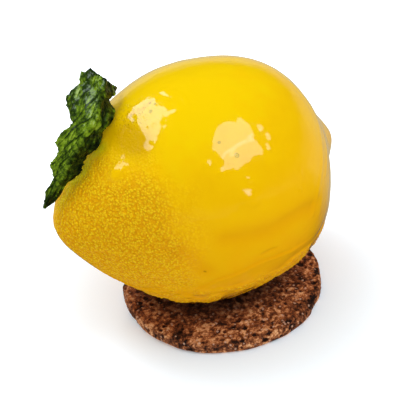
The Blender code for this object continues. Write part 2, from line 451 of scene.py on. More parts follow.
@dataclass(frozen=True)
class GlazeFinish:
    """The lemon's poured glaze: wet and clear over yellow, dull and sugary where it set in grains."""

    tilt: float = 0.2
    top: float = 0.064
    coat_roughness: float = 0.02
    relief_depth: float = 0.00025
    # The stops are painted shade: deep orange low down, bright yellow on top.
    stops: Stops = (
        (0.1, (0.9, 0.35, 0.0)), (0.25, (0.855, 0.385, 0.0)), (0.45, (0.84, 0.44, 0.0)),
        (0.7, (0.865, 0.49, 0.0)), (0.8, (0.89, 0.525, 0.0)), (0.92, (0.885, 0.575, 0.0)),
    )
    # Painted shade in the grain's furrows and along the creases.
    furrow_shade: Colour = (0.74, 0.3, 0.0)
    # Painted shade in the dip beside the leaf.
    hollow: Colour = (0.6, 0.33, 0.0)
    bubble: Colour = (0.64, 0.52, 0.0)
    # Partly the crystals' own paler colour and partly a painted highlight on the grain tops.
    crystal_and_highlight: Colour = (1.0, 0.705, 0.012)
    speck: Colour = (0.06, 0.012, 0.0)
    bubbles: tuple[tuple[Place, float], ...] = (
        ((-0.00042, -0.01694, 0.05499), 0.0005),
        ((-0.00339, -0.01365, 0.05789), 0.00032),
        ((-0.01419, 0.00203, 0.06158), 0.0004),
        ((-0.0124, 0.0032, 0.06241), 0.00026),
        ((-0.0132, 0.00445, 0.06217), 0.00024),
    )
    # A painted green reflection of the leaf in the glaze beside its margin.
    leaf_reflection: Colour = (0.52, 0.5, 0.004)

    def craters(self, mix: Mixer) -> Shade:
        """Tiny ring-shaped craters left by bubbles, 1 on each ring and 0 elsewhere.

        Args:
            mix: the material being made.

        Returns:
            The rings.
        """
        total: Any = 0.0
        for place, radius in self.bubbles:
            total = (0.55 - mix.off(mix.distance(place) / radius, 0.75)).step(0.0, 0.45) + total
        return total

    def colour(self, mix: Mixer, grain: Shade, pebble: Shade, fine: Shade) -> Shade:
        """Yellow that deepens downwards and away from the nose as painted shade, then the grains and every
        painted mark.

        Args:
            mix: the material being made.
            grain: how grainy the glaze is, from 0 to 1.
            pebble: heights of the larger grains.
            fine: heights of the finest ones.

        Returns:
            The colour.
        """
        # The ramp by height is painted shade, darker low down, with random cloudy tone.
        cloud = mix.noise(0.012) * 0.01 + mix.noise(0.0045) * 0.014 - 0.015
        body = mix.ramp((mix.axis("Z") - mix.axis("X") * self.tilt + cloud) / self.top, self.stops)
        # The grain tops, painted in the crystal colour, which is partly a painted highlight.
        lit = pebble.step(0.1, 0.9) * fine.step(0.34, 0.6)
        layers = (
            # Painted shade: darker in the furrows between and below the grains.
            (grain * (0.7 - mix.painted("knob")).step(0.0, 0.7) * 0.45, self.furrow_shade),
            (grain * (0.62 - pebble).step(0.0, 0.5) * 0.55, self.furrow_shade),
            (grain * lit * 0.95, self.crystal_and_highlight),
            # Painted shade in the dip beside the leaf.
            (mix.painted("hollow") * 0.8, self.hollow),
            # A painted green reflection of the leaf beside its margin.
            (mix.painted("green") * 0.85, self.leaf_reflection),
            (mix.painted("speck"), self.speck),
            # Painted shade along the creases.
            (mix.painted("crease") * 0.42, self.furrow_shade),
        )
        for share, tint in layers:
            body = mix.blend(share, body, tint)
        return body

    def material(self) -> bpy.types.Material:
        """The coloured glaze under a clear coat that the grains break up.

        Returns:
            The material.
        """
        mix = Mixer("lemon_glaze")
        grain = mix.painted("grain")
        fine = mix.noise(0.00042, 2.0, 0.6)
        pebble = 1.0 - mix.cells(0.00064) * 1.3
        ring = self.craters(mix)
        pore = mix.painted("pores") * (0.42 - mix.cells(0.00085)).step(0.0, 0.2)
        relief = grain * (fine + pebble * 1.3) - ring * 1.2 - pore * 1.1 + mix.noise(0.0011) * 0.22
        return mix.finish(
            {
                "Base Color": mix.blend(ring * 0.5, self.colour(mix, grain, pebble, fine), self.bubble),
                "Roughness": 0.16 + grain * 0.26,
                "Specular IOR Level": 0.05,
                "Coat Weight": 1.0 - grain * 0.9,
                "Coat Roughness": self.coat_roughness,
                "Coat IOR": 1.5,
                "Normal": mix.bump(relief, self.relief_depth),
            }
        )


@dataclass(frozen=True)
class LeafFinish:
    """A mint leaf in painted light and shade: green on the lit half, nearly black green on the other, paler
    on the puckers as painted highlight.
    """

    # Painted light and shade: the lit half runs from dark to the lightest green, the shaded half from the
    # darkest green up to lit.
    lit: Colour = (0.165, 0.27, 0.006)
    mid: Colour = (0.064, 0.12, 0.004)
    dark: Colour = (0.016, 0.036, 0.002)
    deepest_shade: Colour = (0.003, 0.008, 0.002)
    pucker_highlight: Colour = (0.3, 0.42, 0.04)
    relief_depth: float = 0.00045

    def material(self) -> bpy.types.Material:
        """Greens by half and by pucker height, painted light and shade, with a waxy shine in patches.

        Returns:
            The material.
        """
        mix = Mixer("mint_leaf")
        patch = mix.noise(0.0014, 4.0, 0.65)
        tone = (mix.painted("pucker") * 1.2 + (patch - 0.5) * 1.4).step(0.1, 1.05)
        # The lit half's greens and the shaded half's greens, lighter on the puckers as painted highlight and
        # darker between them as painted shade.
        lit_half_greens = mix.ramp(tone, ((0.0, self.dark), (0.22, self.mid), (0.6, self.lit), (1.0, self.pucker_highlight)))
        shade = mix.ramp(tone, ((0.0, self.deepest_shade), (0.42, self.dark), (0.78, self.mid), (1.0, self.lit)))
        relief = mix.noise(0.0006, 3.0, 0.6) + (1.0 - mix.cells(0.0008)) * 0.4
        return mix.finish(
            {
                # The far half is painted lit and the near half painted in shade.
                "Base Color": mix.blend(mix.painted("far_half"), shade, lit_half_greens),
                "Roughness": 0.4,
                "Specular IOR Level": 0.05,
                "Coat Weight": patch.step(0.44, 0.58) * 0.6,
                "Coat Roughness": 0.09,
                "Normal": mix.bump(relief, self.relief_depth),
            }
        )


@dataclass(frozen=True)
class BiscuitFinish:
    """A dry cocoa biscuit: brown crumb with caramel and sugary flecks and dark pits, the pits' darkness
    painted shade, and a painted shadow under the lemon.
    """

    # Nearly black: the painted shade of the pits and of the shadow under the lemon.
    pit: Colour = (0.02, 0.006, 0.003)
    brown: Colour = (0.18, 0.048, 0.013)
    warm: Colour = (0.4, 0.12, 0.036)
    tan: Colour = (0.74, 0.3, 0.11)
    crumb: Colour = (0.95, 0.52, 0.25)
    sugar: Colour = (0.82, 0.48, 0.32)
    relief_depth: float = 0.0006

    def material(self) -> bpy.types.Material:
        """Browns by crumb height, darker down in the pits as painted shade, with scattered sugar, dull
        between and shiny on the sugar.

        Returns:
            The material.
        """
        mix = Mixer("cocoa_biscuit")
        patch = mix.noise(0.0013, 5.0, 0.75)
        # The crumb tone is partly the crumb's own colour and partly painted shade, darkest in the pits.
        tone = (mix.painted("crumb") - 0.5) * 1.3 + (patch - 0.5) * 3.0
        tone = tone + (mix.noise(0.005) - 0.5) * 0.9 + 0.62
        stops = ((0.05, self.pit), (0.36, self.brown), (0.58, self.warm), (0.8, self.tan), (1.0, self.crumb))
        picked = mix.add("SeparateColor", {0: mix.cells(0.001, "Color")})
        fleck = picked.step(0.72, 0.78) * (0.4 - mix.cells(0.001)).step(0.0, 0.16)
        body = mix.blend(fleck * 0.85, mix.ramp(tone, stops), self.sugar)
        relief = mix.noise(0.0005, 4.0, 0.7) + (1.0 - mix.cells(0.0009)) * 0.8 + fleck * 0.5
        return mix.finish(
            {
                # A painted shadow where the lemon nearly meets the biscuit.
                "Base Color": mix.blend(mix.painted("covered") * 0.85, body, self.pit),
                "Roughness": 0.6 - fleck * 0.35,
                "Specular IOR Level": 0.2,
                "Normal": mix.bump(relief, self.relief_depth),
            }
        )


# ---- the lemon


@dataclass(frozen=True)
class Spots:
    """Places round the lemon's axis: distance along it, radius, and angle round it from +Y, in radians."""

    x: Array
    r: Array
    turn: Array

    def round_from(self, degrees: float) -> Array:
        """The shorter way round from an angle in degrees to each place, in radians."""
        return (self.turn - math.radians(degrees) + math.pi) % TAU - math.pi

    def steps_from(self, along: float, degrees: float) -> tuple[Array, Array]:
        """How far each place is from one spot, along the axis and round it, in millimetres."""
        return self.x / MM - along, self.r / MM * self.round_from(degrees)

    def bell(self, along: float, degrees: float, width: float) -> Array:
        """A bell of height 1 and a given width, in millimetres, on one spot."""
        return hill(np.hypot(*self.steps_from(along, degrees)), width)


@dataclass(frozen=True)
class Mound:
    """A swelling, a drop of glaze or a patch of ripples, at a place along the axis and an angle round it.

    long and wide are its half lengths along and round, lean turns them, and rim is the height of a ring on
    its edge. Here and in Run, lengths are in millimetres and angles in degrees.
    """

    along: float
    turn: float
    long: float
    wide: float
    height: float
    lean: float = 0.0
    rim: float = 0.0

    def reach(self, spots: Spots) -> Array:
        """How far each place is from the middle, in half lengths."""
        u, v = spots.steps_from(self.along, self.turn)
        c, s = math.cos(self.lean), math.sin(self.lean)
        return np.hypot((c * u + s * v) / self.long, (c * v - s * u) / self.wide)


@dataclass(frozen=True)
class Run:
    """A run, fold or lip of glaze along guide places (place along the axis, angle in degrees).

    wide is its half width and height its height on the crest. step is how much thicker the glaze is on the
    left of the direction of travel, and reach is how far that thicker skin takes to fade.
    """

    crest: tuple[tuple[float, float], ...]
    wide: float
    height: float
    step: float = 0.0
    reach: float = 3.0


@dataclass
class Lemon:
    """The lemon body. Places on it are given along its axis, from the thickest ring, and round it from +Y.

    gel_drop and speck are each a place along the axis, an angle and a width, in the units of Mound.
    """

    radius: float = 0.0303
    stem_length: float = 0.039
    nose_length: float = 0.033
    nipple_height: float = 0.0049
    nipple_radius: float = 0.0071
    stem_slimming: float = 0.44
    stem_fullness: float = 2.15
    nose_fullness: tuple[float, float] = (2.37, 2.59)
    centre: tuple[float, float] = (-0.0024, 0.0047)
    bottom: float = 0.0039
    flat_depth: float = 0.0004
    rings: int = 300
    columns: int = 330
    swells: tuple[Mound, ...] = (
        Mound(30.0, -175.0, 6.5, 6.5, -0.8),
        Mound(27.0, 88.0, 8.0, 8.0, 0.8),
        Mound(-14.0, 46.0, 8.0, 8.0, -0.8),
        Mound(-10.0, -128.0, 8.0, 8.0, 0.4),
        Mound(-21.0, 103.0, 6.0, 6.0, -0.9),
    )
    beads: tuple[Mound, ...] = (
        Mound(-24.4, 117.0, 1.9, 2.1, 0.85),
        Mound(1.8, 157.0, 2.6, 2.1, 0.8, 0.4),
        Mound(-6.0, 135.0, 0.9, 0.9, 0.24),
        Mound(-3.3, 140.8, 1.0, 0.9, 0.3),
        Mound(3.0, 148.2, 0.7, 0.7, 0.22),
        Mound(11.4, 126.5, 0.5, 0.8, 0.14),
        Mound(12.2, 131.5, 0.5, 0.7, 0.12),
        Mound(11.0, 137.5, 0.5, 1.2, 0.16),
        Mound(15.0, 140.5, 0.4, 0.6, 0.1),
        Mound(15.9, 162.6, 0.5, 0.7, 0.14),
        Mound(13.4, 139.8, 0.4, 1.1, 0.1),
        Mound(2.0, 135.6, 0.5, 0.5, -0.08, 0.0, 0.16),
        Mound(0.8, 126.3, 0.5, 0.5, -0.06, 0.0, 0.12),
    )
    runs: tuple[Run, ...] = (
        Run(((-30.0, -128.0), (-24.2, -135.6), (-20.7, -146.1), (-17.0, -149.7),
             (-15.1, -147.3)), 0.32, -0.12, 0.42),
        Run(((-15.1, -147.3), (-12.5, -154.5), (-9.1, -161.7),
             (-4.1, -164.4), (3.1, -167.0), (12.0, -164.0)), 0.36, -0.12, 0.36),
        Run(((-21.0, -141.0), (-16.0, -140.0), (-11.0, -142.0)), 0.5, 0.18),
        Run(((-17.0, 176.0), (-14.0, 182.0), (-12.0, 190.0)), 2.0, -0.16),
        Run(((3.1, -171.6), (5.4, -172.2), (7.1, -171.6)), 0.4, -0.18),
        Run(((19.0, 176.0), (14.2, 174.6), (5.7, 175.6), (-0.3, 174.6), (-6.2, 172.8)), 2.3, -0.5),
        Run(((16.0, 168.0), (12.1, 168.2), (6.3, 166.4), (0.8, 166.7)), 2.0, 0.1),
        Run(((26.3, 96.0), (27.3, 102.3), (28.8, 110.7), (29.6, 124.0), (28.2, 138.3),
             (25.9, 153.3), (21.9, 169.8), (19.0, 182.0)), 0.7, 0.13),
        Run(((28.0, 98.0), (30.0, 106.0), (31.2, 124.0), (29.6, 150.0), (26.0, 166.0)), 0.6, 0.1),
        Run(((15.8, 162.5), (16.9, 158.1), (17.4, 152.9)), 0.35, 0.12),
        Run(((-6.2, 88.0), (-5.6, 95.7), (-6.2, 104.8)), 0.8, 0.2),
        Run(((-4.4, 92.0), (-3.6, 99.0), (-3.6, 108.2)), 0.7, 0.2),
        Run(((11.2, 121.0), (12.6, 128.0), (12.2, 142.0)), 0.6, 0.07),
        Run(((-14.0, 101.0), (-10.5, 103.0)), 0.4, 0.07),
        Run(((-16.0, 87.0), (-13.0, 90.5), (-10.0, 90.0)), 0.35, -0.06),
        Run(((-25.1, 114.2), (-23.5, 111.0), (-22.3, 108.4)), 0.5, 0.3),
        Run(((-23.9, 118.8), (-23.2, 117.3), (-22.7, 115.6)), 0.45, 0.26),
    )
    ripples: tuple[Mound, ...] = (
        Mound(-7.0, 97.0, 2.4, 4.8, 0.12),
        Mound(-4.2, 106.0, 2.0, 3.6, 0.07),
        Mound(-15.0, 109.0, 2.8, 3.0, 0.08),
        Mound(-15.0, 95.0, 3.0, 3.0, 0.045),
        Mound(-11.0, 105.0, 2.6, 2.0, 0.06),
        Mound(11.2, 133.0, 2.2, 6.0, 0.07),
        Mound(-4.0, 137.5, 2.6, 2.6, 0.06),
        Mound(14.0, 140.0, 1.5, 3.0, 0.045),
    )
    shaded: tuple[Place, ...] = (
        (-0.0213, 0.003, 0.0572),
        (-0.0214, 0.0, 0.0568),
        (-0.0198, -0.0034, 0.057),
    )
    porous: Place = (-0.0188, 0.0052, 0.0602)
    gel_drop: Place = (-24.4, 117.0, 2.3)
    speck: Place = (-11.7, -168.9, 0.26)
    grain_heart: Place = (-0.034, -0.01, 0.038)
    grain_reach: tuple[float, float] = (0.0285, 0.013)
    knob_size: float = 0.00078
    knob_height: float = 0.0003
    seed_size: float = 0.0005
    seed_height: float = 0.00008
    waves: tuple[tuple[float, float, int], ...] = ((0.0001, 0.0085, 1), (0.00004, 0.0032, 2))
    chop_size: float = 0.0012
    chop_height: float = 0.000018
    lip_turn: float = -157.0
    lip_height: float = 0.00022

    @property
    def axis_height(self) -> float:
        """Height of the lemon's axis over the table."""
        return self.bottom - self.flat_depth + self.radius

    def profile(self, angle: Array) -> tuple[Array, Array]:
        """The turned outline: an egg on the stem side, and a superellipse with a bell for a nipple.

        Args:
            angle: 0 at the stem end, pi at the nipple.

        Returns:
            Distance along the axis, and radius.
        """
        along, across = np.cos(angle), np.sin(angle)
        stem_x = -self.stem_length * np.abs(along) ** (2.0 / self.stem_fullness)
        stem_r = self.radius * across * (1.0 - self.stem_slimming * along ** 2)
        nose_x = self.nose_length * np.abs(along) ** (2.0 / self.nose_fullness[0])
        nose_r = self.radius * across ** (2.0 / self.nose_fullness[1])
        x = np.where(along > 0.0, stem_x, nose_x)
        r = np.where(along > 0.0, stem_r, nose_r)
        on_nose = 1.0 / (1.0 + np.exp(-(x - 0.3 * self.nose_length) / 0.002))
        return x + self.nipple_height * hill(r, self.nipple_radius) * on_nose * (x > 0.0), r

    def swelling(self, spots: Spots) -> Array:
        """How far the skin stands out from the turned outline: a sum of soft bells.

        Args:
            spots: places on the outline.

        Returns:
            Heights.
        """
        total = np.zeros_like(spots.x)
        for swell in self.swells:
            total = total + swell.height * hill(swell.reach(spots), math.sqrt(2.0))
        return total * MM

    def clear(self, points: Array, gap: float) -> Array:
        """Lifts points that are nearer to the skin than gap, straight out from the nearest outline point.

        Args:
            points: any array of places.
            gap: the least distance kept.

        Returns:
            The same array, moved.
        """
        px, pr = self.profile(np.linspace(0.0, math.pi, 901))
        x = points[..., 0] - self.centre[0]
        y = points[..., 1] - self.centre[1]
        z = points[..., 2] - self.axis_height
        r = np.hypot(y, z)
        nearest = np.empty(x.size, int)
        for part in np.array_split(np.arange(x.size), max(1, x.size // 4000)):
            far_x, far_r = (line - flat.reshape(-1, 1)[part] for line, flat in ((px, x), (pr, r)))
            nearest[part] = (far_x ** 2 + far_r ** 2).argmin(axis=1)
        nearest = nearest.reshape(x.shape)
        dx, dr = np.gradient(px), np.gradient(pr)
        pace = np.hypot(dx, dr)
        out_x, out_r = (-dr / pace)[nearest], (dx / pace)[nearest]
        skin = self.swelling(Spots(px[nearest], pr[nearest], np.arctan2(z, y)))
        height = (x - px[nearest]) * out_x + (r - pr[nearest]) * out_r - np.maximum(skin, 0.0)
        push = np.maximum(gap - height, 0.0)
        ring = out_r * push / np.maximum(r, 1e-6)
        return points + joined(push * out_x, ring * y, ring * z)

    def turns(self) -> Array:
        """Angles of the columns, closer together over the top and front, where the fine grain is."""
        even = np.linspace(0.0, 1.0, self.columns, endpoint=False)
        centre = math.radians(172.0)
        return centre + TAU * (even - 0.5) - 0.5 * np.sin(TAU * (even - 0.5))

    def angles(self) -> Array:
        """Profile angles of the rings, closer together on the stem half."""
        even = np.linspace(0.0, 1.0, self.rings + 2)[1:-1]
        return math.pi * (even - 0.055 * np.sin(TAU * even)) ** 1.12

    def sugar_mask(self, points: Array) -> Array:
        """Where the glaze set in grains: full near the stem end's front, fading out with ragged borders.

        Args:
            points: places on the skin.

        Returns:
            0 where smooth, 1 where grainy.
        """
        away = length(points - np.array(self.grain_heart))
        away = away + 0.0035 * rolling(points, 0.006, 3) + 0.0012 * rolling(points, 0.0018, 4)
        return ease(away, *self.grain_reach)

    def bead_relief(self, spots: Spots) -> Array:
        """Heights of the drops: elliptic domes, exp of minus the cubed distance, some with a raised rim.

        Args:
            spots: places on the outline.

        Returns:
            Heights.
        """
        total = np.zeros_like(spots.x)
        for bead in self.beads:
            away = bead.reach(spots)
            total = total + bead.height * np.exp(-(away ** 3)) + bead.rim * hill(away - 1.0, 0.35)
        return total * MM

    def run_relief(self, spots: Spots) -> tuple[Array, Array]:
        """Heights of the runs: a bell across each crest, and a thicker skin that fades on one side of it.

        Args:
            spots: places on the outline; lengths round it are taken at the thickest ring.

        Returns:
            Heights, and how near the narrow creases are, from 0 to 1, where the glaze gets painted shade.
        """
        spots = Spots(spots.x, np.full_like(spots.x, self.radius), spots.turn)
        total = np.zeros_like(spots.x)
        crease = np.zeros_like(spots.x)
        for run in self.runs:
            places = through(run.crest, np.linspace(0.0, 1.0, 6 * len(run.crest)))
            nearest = np.full_like(spots.x, np.inf)
            side = np.zeros_like(spots.x)
            for (x0, turn0), (x1, turn1) in zip(places[:-1], places[1:]):
                u, v = spots.steps_from(x0, turn0)
                du, dv = x1 - x0, self.radius / MM * math.radians(turn1 - turn0)
                share = unit((u * du + v * dv) / (du * du + dv * dv))
                away = np.hypot(u - share * du, v - share * dv)
                closer = away < nearest
                side = np.where(closer, (du * v - dv * u) / math.hypot(du, dv), side)
                nearest = np.where(closer, away, nearest)
            total = total + run.height * hill(nearest, run.wide)
            if run.step:
                total = total + run.step * ease(side, -run.wide, run.wide) * np.exp(-nearest / run.reach)
            # The creases get painted shade in the glaze's colour.
            if run.height < 0.0:
                crease = np.maximum(crease, hill(nearest, 1.3 * run.wide))
        return total * MM, crease

    def drip_edge(self, spots: Spots, points: Array) -> tuple[Array, Array]:
        """The glaze's lower edge: a thick sugary fringe that overhangs the biscuit.

        Args:
            spots: places on the outline.
            points: the same places on the skin.

        Returns:
            Heights, and how grainy the skin is there.
        """
        lip = self.lip_turn + 4.0 * rolling(points, 0.006, 20)
        below = np.degrees(spots.round_from(0.0)) - lip
        reach = ease(spots.x, -0.028, -0.02) * ease(spots.x, 0.03, 0.021)
        fringe = ease(below, 0.0, 6.0) * ease(below, 40.0, 26.0) * reach
        return self.lip_height * fringe, fringe * ease(rolling(points, 0.0035, 22), -0.6, 0.1)

    def chop(self, spots: Spots, points: Array) -> Array:
        """Slow waves everywhere and fine choppy ones, which are stronger in the ripple patches.

        Args:
            spots: places on the outline.
            points: the same places on the skin.

        Returns:
            Heights.
        """
        total = sum(height * rolling(points, size, seed) for height, size, seed in self.waves)
        choppy = rolling(points, self.chop_size, 8)
        total = total + self.chop_height * choppy
        for ripple in self.ripples:
            total = total + MM * ripple.height * choppy * hill(ripple.reach(spots), 1.0)
        return total

    def marks(self, spots: Spots, grid: Array, leaf_edge: Array) -> dict[str, Array]:
        """What is painted by place: painted shade in the dip by the leaf, its pores, a dark speck and a
        painted green reflection of the leaf.

        Args:
            spots: places on the outline.
            grid: the finished skin.
            leaf_edge: places along the leaf's lower margin.

        Returns:
            Numbers from 0 to 1 under each name.
        """
        beside = np.full(spots.x.shape, 1.0)
        for place in leaf_edge:
            beside = np.minimum(beside, length(grid - place))
        # Painted shade in the dip beside the leaf, round the shaded places.
        dip_shade = sum(hill(length(grid - np.array(place)), 0.0034) for place in self.shaded)
        return {
            "hollow": np.minimum(dip_shade, 1.0),
            "pores": hill(length(grid - np.array(self.porous)), 0.0042),
            "speck": spots.bell(*self.speck),
            # A painted green reflection of the leaf in the glaze beside its margin.
            "green": hill(beside, 0.0018),
        }

    def skin(self, leaf_edge: Array) -> tuple[Array, dict[str, Array]]:
        """The finished skin: the turned outline, its swellings, and every relief along the normals.

        Args:
            leaf_edge: places along the leaf's lower margin, whose painted green reflection tints the glaze
                beside it.

        Returns:
            The grid of points, and what the glaze's material reads at each of them.
        """
        x, r = (np.repeat(part[:, None], self.columns, axis=1) for part in self.profile(self.angles()))
        turn = np.repeat(self.turns()[None, :], self.rings, axis=0)
        spots = Spots(x, r, turn)
        r = r + self.swelling(spots)
        y, z = self.centre[1] + r * np.cos(turn), self.axis_height + r * np.sin(turn)
        grid = joined(x + self.centre[0], y, z)
        normal = outward(grid, True)
        above = ease(np.abs(np.degrees(spots.round_from(-75.0))), 44.0, 58.0)
        sugar = self.sugar_mask(grid) * above * (1.0 - spots.bell(*self.gel_drop))
        lip, fringe = self.drip_edge(spots, grid)
        near, _, own = crumbs(grid, self.knob_size, 5)
        fine, _, _ = crumbs(grid, self.seed_size, 6)
        knob = unit(1.0 - 1.7 * near ** 2) * (0.35 + 0.65 * own)
        grains = self.knob_height * knob + self.seed_height * unit(1.0 - 1.5 * fine ** 2)
        runs, crease = self.run_relief(spots)
        relief = self.chop(spots, grid) + self.bead_relief(spots) + runs + lip
        relief = relief + grains * np.maximum(sugar, fringe * 1.4)
        grid = grid + normal * relief[..., None]
        grid[..., 2] = np.maximum(grid[..., 2], self.bottom)
        grown = {"grain": np.maximum(sugar, fringe * 0.9), "knob": knob, "crease": crease}
        return grid, grown | self.marks(spots, grid, leaf_edge)

    def build(self, leaf_edge: Array) -> Item:
        """Makes and dresses the lemon.

        Args:
            leaf_edge: places along the leaf's lower margin.

        Returns:
            The piece.
        """
        grid, marks = self.skin(leaf_edge)
        body = capped_tube("glazed_lemon", grid, grid[0].mean(axis=0), grid[-1].mean(axis=0))
        for name, values in marks.items():
            paint(body, name, np.concatenate([values.ravel(), [values[0].mean(), values[-1].mean()]]))
        body.data.materials.append(GlazeFinish().material())
        return body


# ---- the leaf


@dataclass
class MintLeaf:
    """The mint leaf. t runs from its narrow end, by the stem, to its broad end on top; a runs across it."""

    thickness: float = 0.00045
    rows: int = 300
    half_columns: int = 64
    veins: float = 9.0
    teeth: float = 14.0
    tooth_height: float = 0.0011
    blister_height: float = 0.00034
    dimple_height: float = 0.0001
    fold_height: float = 0.00042
    ruffle_height: float = 0.0007
    vein_depth: float = 0.0003
    rib_depth: float = 0.00035
    curl_depth: float = 0.0004
    midrib: tuple[Place, ...] = (
        (-0.0432, 0.0065, 0.04),
        (-0.0383, 0.0048, 0.0487),
        (-0.0335, 0.0047, 0.0559),
        (-0.0267, 0.0072, 0.0614),
        (-0.0201, 0.0158, 0.0651),
    )
    near_half: tuple[Place, ...] = ((0.81, 0.11, -0.57), (0.54, 0.37, -0.76))
    far_half: tuple[Place, ...] = ((-0.55, 0.74, -0.38), (-0.25, 0.96, 0.08))
    near_widths_mm: tuple[float, ...] = (
        0.4, 1.5, 2.1, 2.9, 3.5, 4.0, 4.5, 5.0, 5.3, 5.7, 5.6, 5.7, 6.8, 7.6, 4.6, 5.9, 8.3,
    )
    far_widths_mm: tuple[float, ...] = (
        0.3, 1.4, 2.1, 2.6, 3.4, 4.3, 5.5, 6.0, 6.8, 7.9, 7.5, 7.1, 9.0, 10.3, 9.2, 7.6, 6.3,
    )

    def way(self, side: Side, t: Array) -> Array:
        """The direction in which one half leaves the midrib; it turns with t^4, mostly near the broad end."""
        ends = self.near_half if side is Side.NEAR else self.far_half
        first, last = np.array(ends[0]), np.array(ends[1])
        way = first + (last - first) * (t ** 4)[..., None]
        return way / np.linalg.norm(way, axis=-1, keepdims=True)

    def surface(self, t: Array, a: Array) -> tuple[Array, Array, Array]:
        """The middle of the sheet: the midrib plus each half's width along its way, puckered upwards.

        Args:
            t: place along the leaf, 0 to 1.
            a: place across, -1 at the near margin, 0 on the midrib, 1 at the far margin.

        Returns:
            Points, the pucker height from 0 to 1, and how near a vein is, from 0 to 1.
        """
        near = a < 0.0
        reach = np.abs(a)
        ragged = 0.016 * rolling(joined(4.0 * a, a, 0.0 * a), 0.7, 30) * ease(t, 0.85, 1.0)
        t = t + ragged + 0.01 * ease(t, 0.85, 1.0)
        width = np.where(near, through(self.near_widths_mm, t), through(self.far_widths_mm, t)) * MM
        taper = unit(np.minimum(t, 1.02 - t) / 0.05) * unit(width / 0.004)
        margin = joined(t, 0.0 * t, np.sign(a))
        wobble = rolling(margin, 0.06, 32)
        phase = t * self.teeth + 0.6 * wobble + np.where(near, 0.3, 0.0)
        tooth = self.tooth_height * ((phase % 1.0) ** 3.0 - 0.25) * (0.45 + 0.55 * wobble) * taper
        tooth = tooth + 0.00022 * rolling(margin, 0.012, 37) * taper
        out = reach * (width + tooth * reach ** 5)
        side = np.where(near[..., None], self.way(Side.NEAR, t), self.way(Side.FAR, t))
        axis = np.array(self.midrib[-1]) - np.array(self.midrib[0])
        span = np.linalg.norm(axis)
        axis = axis / span
        up = np.cross(axis, np.cross(self.way(Side.FAR, t), self.way(Side.NEAR, t)))
        up = np.cross(up, axis)
        up = up / np.linalg.norm(up, axis=-1, keepdims=True)
        flat = through(self.midrib, t) + side * out[..., None]
        sheet = joined(t * span, np.where(near, -out, out), 0.0 * t)
        drift = 0.0011 * rolling(sheet, 0.005, 31)
        vein_place = (t * span + 1.1 * out + drift) / (span / self.veins) + np.where(near, 0.5, 0.0)
        between = np.abs(np.sin(math.pi * vein_place))
        vein = unit(1.0 - between / 0.2) * ease(out, 0.0, 0.001)
        rib = hill(out, 0.0003)
        streaky = sheet * np.array([0.45, 1.0, 1.0]) + 0.0004 * rolling(sheet, 0.002, 38)[..., None]
        first, second, own = crumbs(streaky, 0.00125, 33)
        blister = unit((second - first) / 0.55) ** 0.7 * (0.45 + 0.55 * own)
        tiny, beyond, _ = crumbs(sheet, 0.00065, 34)
        dimple = unit((beyond - tiny) / 0.5)
        fold = rolling(sheet * np.array([0.22, 1.0, 1.0]), 0.0019, 35)
        flatten = ease(reach, 0.0, 0.12) * ease(reach, 1.1, 0.8)
        pucker = unit(0.5 * blister + 0.18 * dimple + 0.32 * (0.5 + 0.5 * fold) - 0.35 * vein)
        ruffle = self.ruffle_height * np.sin(TAU * (t * 4.3 + 0.15 * a)) * reach ** 2 * taper
        relief = self.blister_height * blister + self.dimple_height * dimple + self.fold_height * fold
        relief = (relief - self.vein_depth * vein) * flatten * (0.35 + 0.65 * taper)
        curl = self.curl_depth * ease(t, 0.93, 1.0) * ease(a, -0.3, 0.4)
        lift = relief + ruffle - self.rib_depth * rib * taper - curl
        return flat + up * lift[..., None], pucker, np.maximum(vein, rib)

    def lower_margin(self) -> Array:
        """Places along the near margin, which lies against the lemon."""
        t = np.linspace(0.0, 0.55, 60)
        return self.surface(t, np.full_like(t, -1.0))[0]

    def build(self, lemon: Lemon) -> Item:
        """Makes and dresses the leaf: an upper and a lower sheet sewn together round the margin.

        Args:
            lemon: the body that the leaf lies on and stays clear of.

        Returns:
            The piece.
        """
        t = np.linspace(0.0, 1.0, self.rows)
        a = np.linspace(-1.0, 1.0, 2 * self.half_columns + 1)
        tt, aa = np.meshgrid(t, a, indexing="ij")
        middle, pucker, vein = self.surface(tt, aa)
        middle = lemon.clear(middle, 0.0003 + 0.5 * self.thickness)
        normal = outward(middle, False)
        edge = np.minimum(1.0 - np.abs(aa), 8.0 * np.minimum(tt, 1.0 - tt))
        half = 0.5 * self.thickness * (0.35 + 0.65 * unit(edge * 8.0)) * (1.0 + 0.8 * vein)
        upper = middle + normal * half[..., None]
        lower = middle - normal * half[..., None]
        rows, columns = tt.shape
        count = rows * columns
        top = grid_quads(rows, columns, False)
        under = top[:, ::-1] + count
        number = np.arange(count).reshape(rows, columns)
        border = np.concatenate([number[0], number[1:, -1], number[-1, -2::-1], number[-2:0:-1, 0]])
        following = np.roll(border, -1)
        seam = joined(following, border, border + count, following + count)
        points = np.concatenate([upper.reshape(-1, 3), lower.reshape(-1, 3)])
        leaf = new_mesh("mint_leaf_blade", points, top, under, seam)
        # Painted light and shade: lit marks the half painted in lit greens, and bulge bends its line against
        # the half painted in shade.
        bulge = -0.42 * hill(tt - 0.7, 0.075) + 0.1 * rolling(middle, 0.003, 39)
        lit = ease(aa - bulge, -0.12, 0.04) * ease(tt, 1.0, 0.955)
        # far_half carries the painted light of the lit half.
        for name, values in (("pucker", pucker), ("far_half", lit)):
            paint(leaf, name, np.concatenate([values.ravel(), values.ravel()]))
        leaf.data.materials.append(LeafFinish().material())
        return leaf


# ---- the biscuit


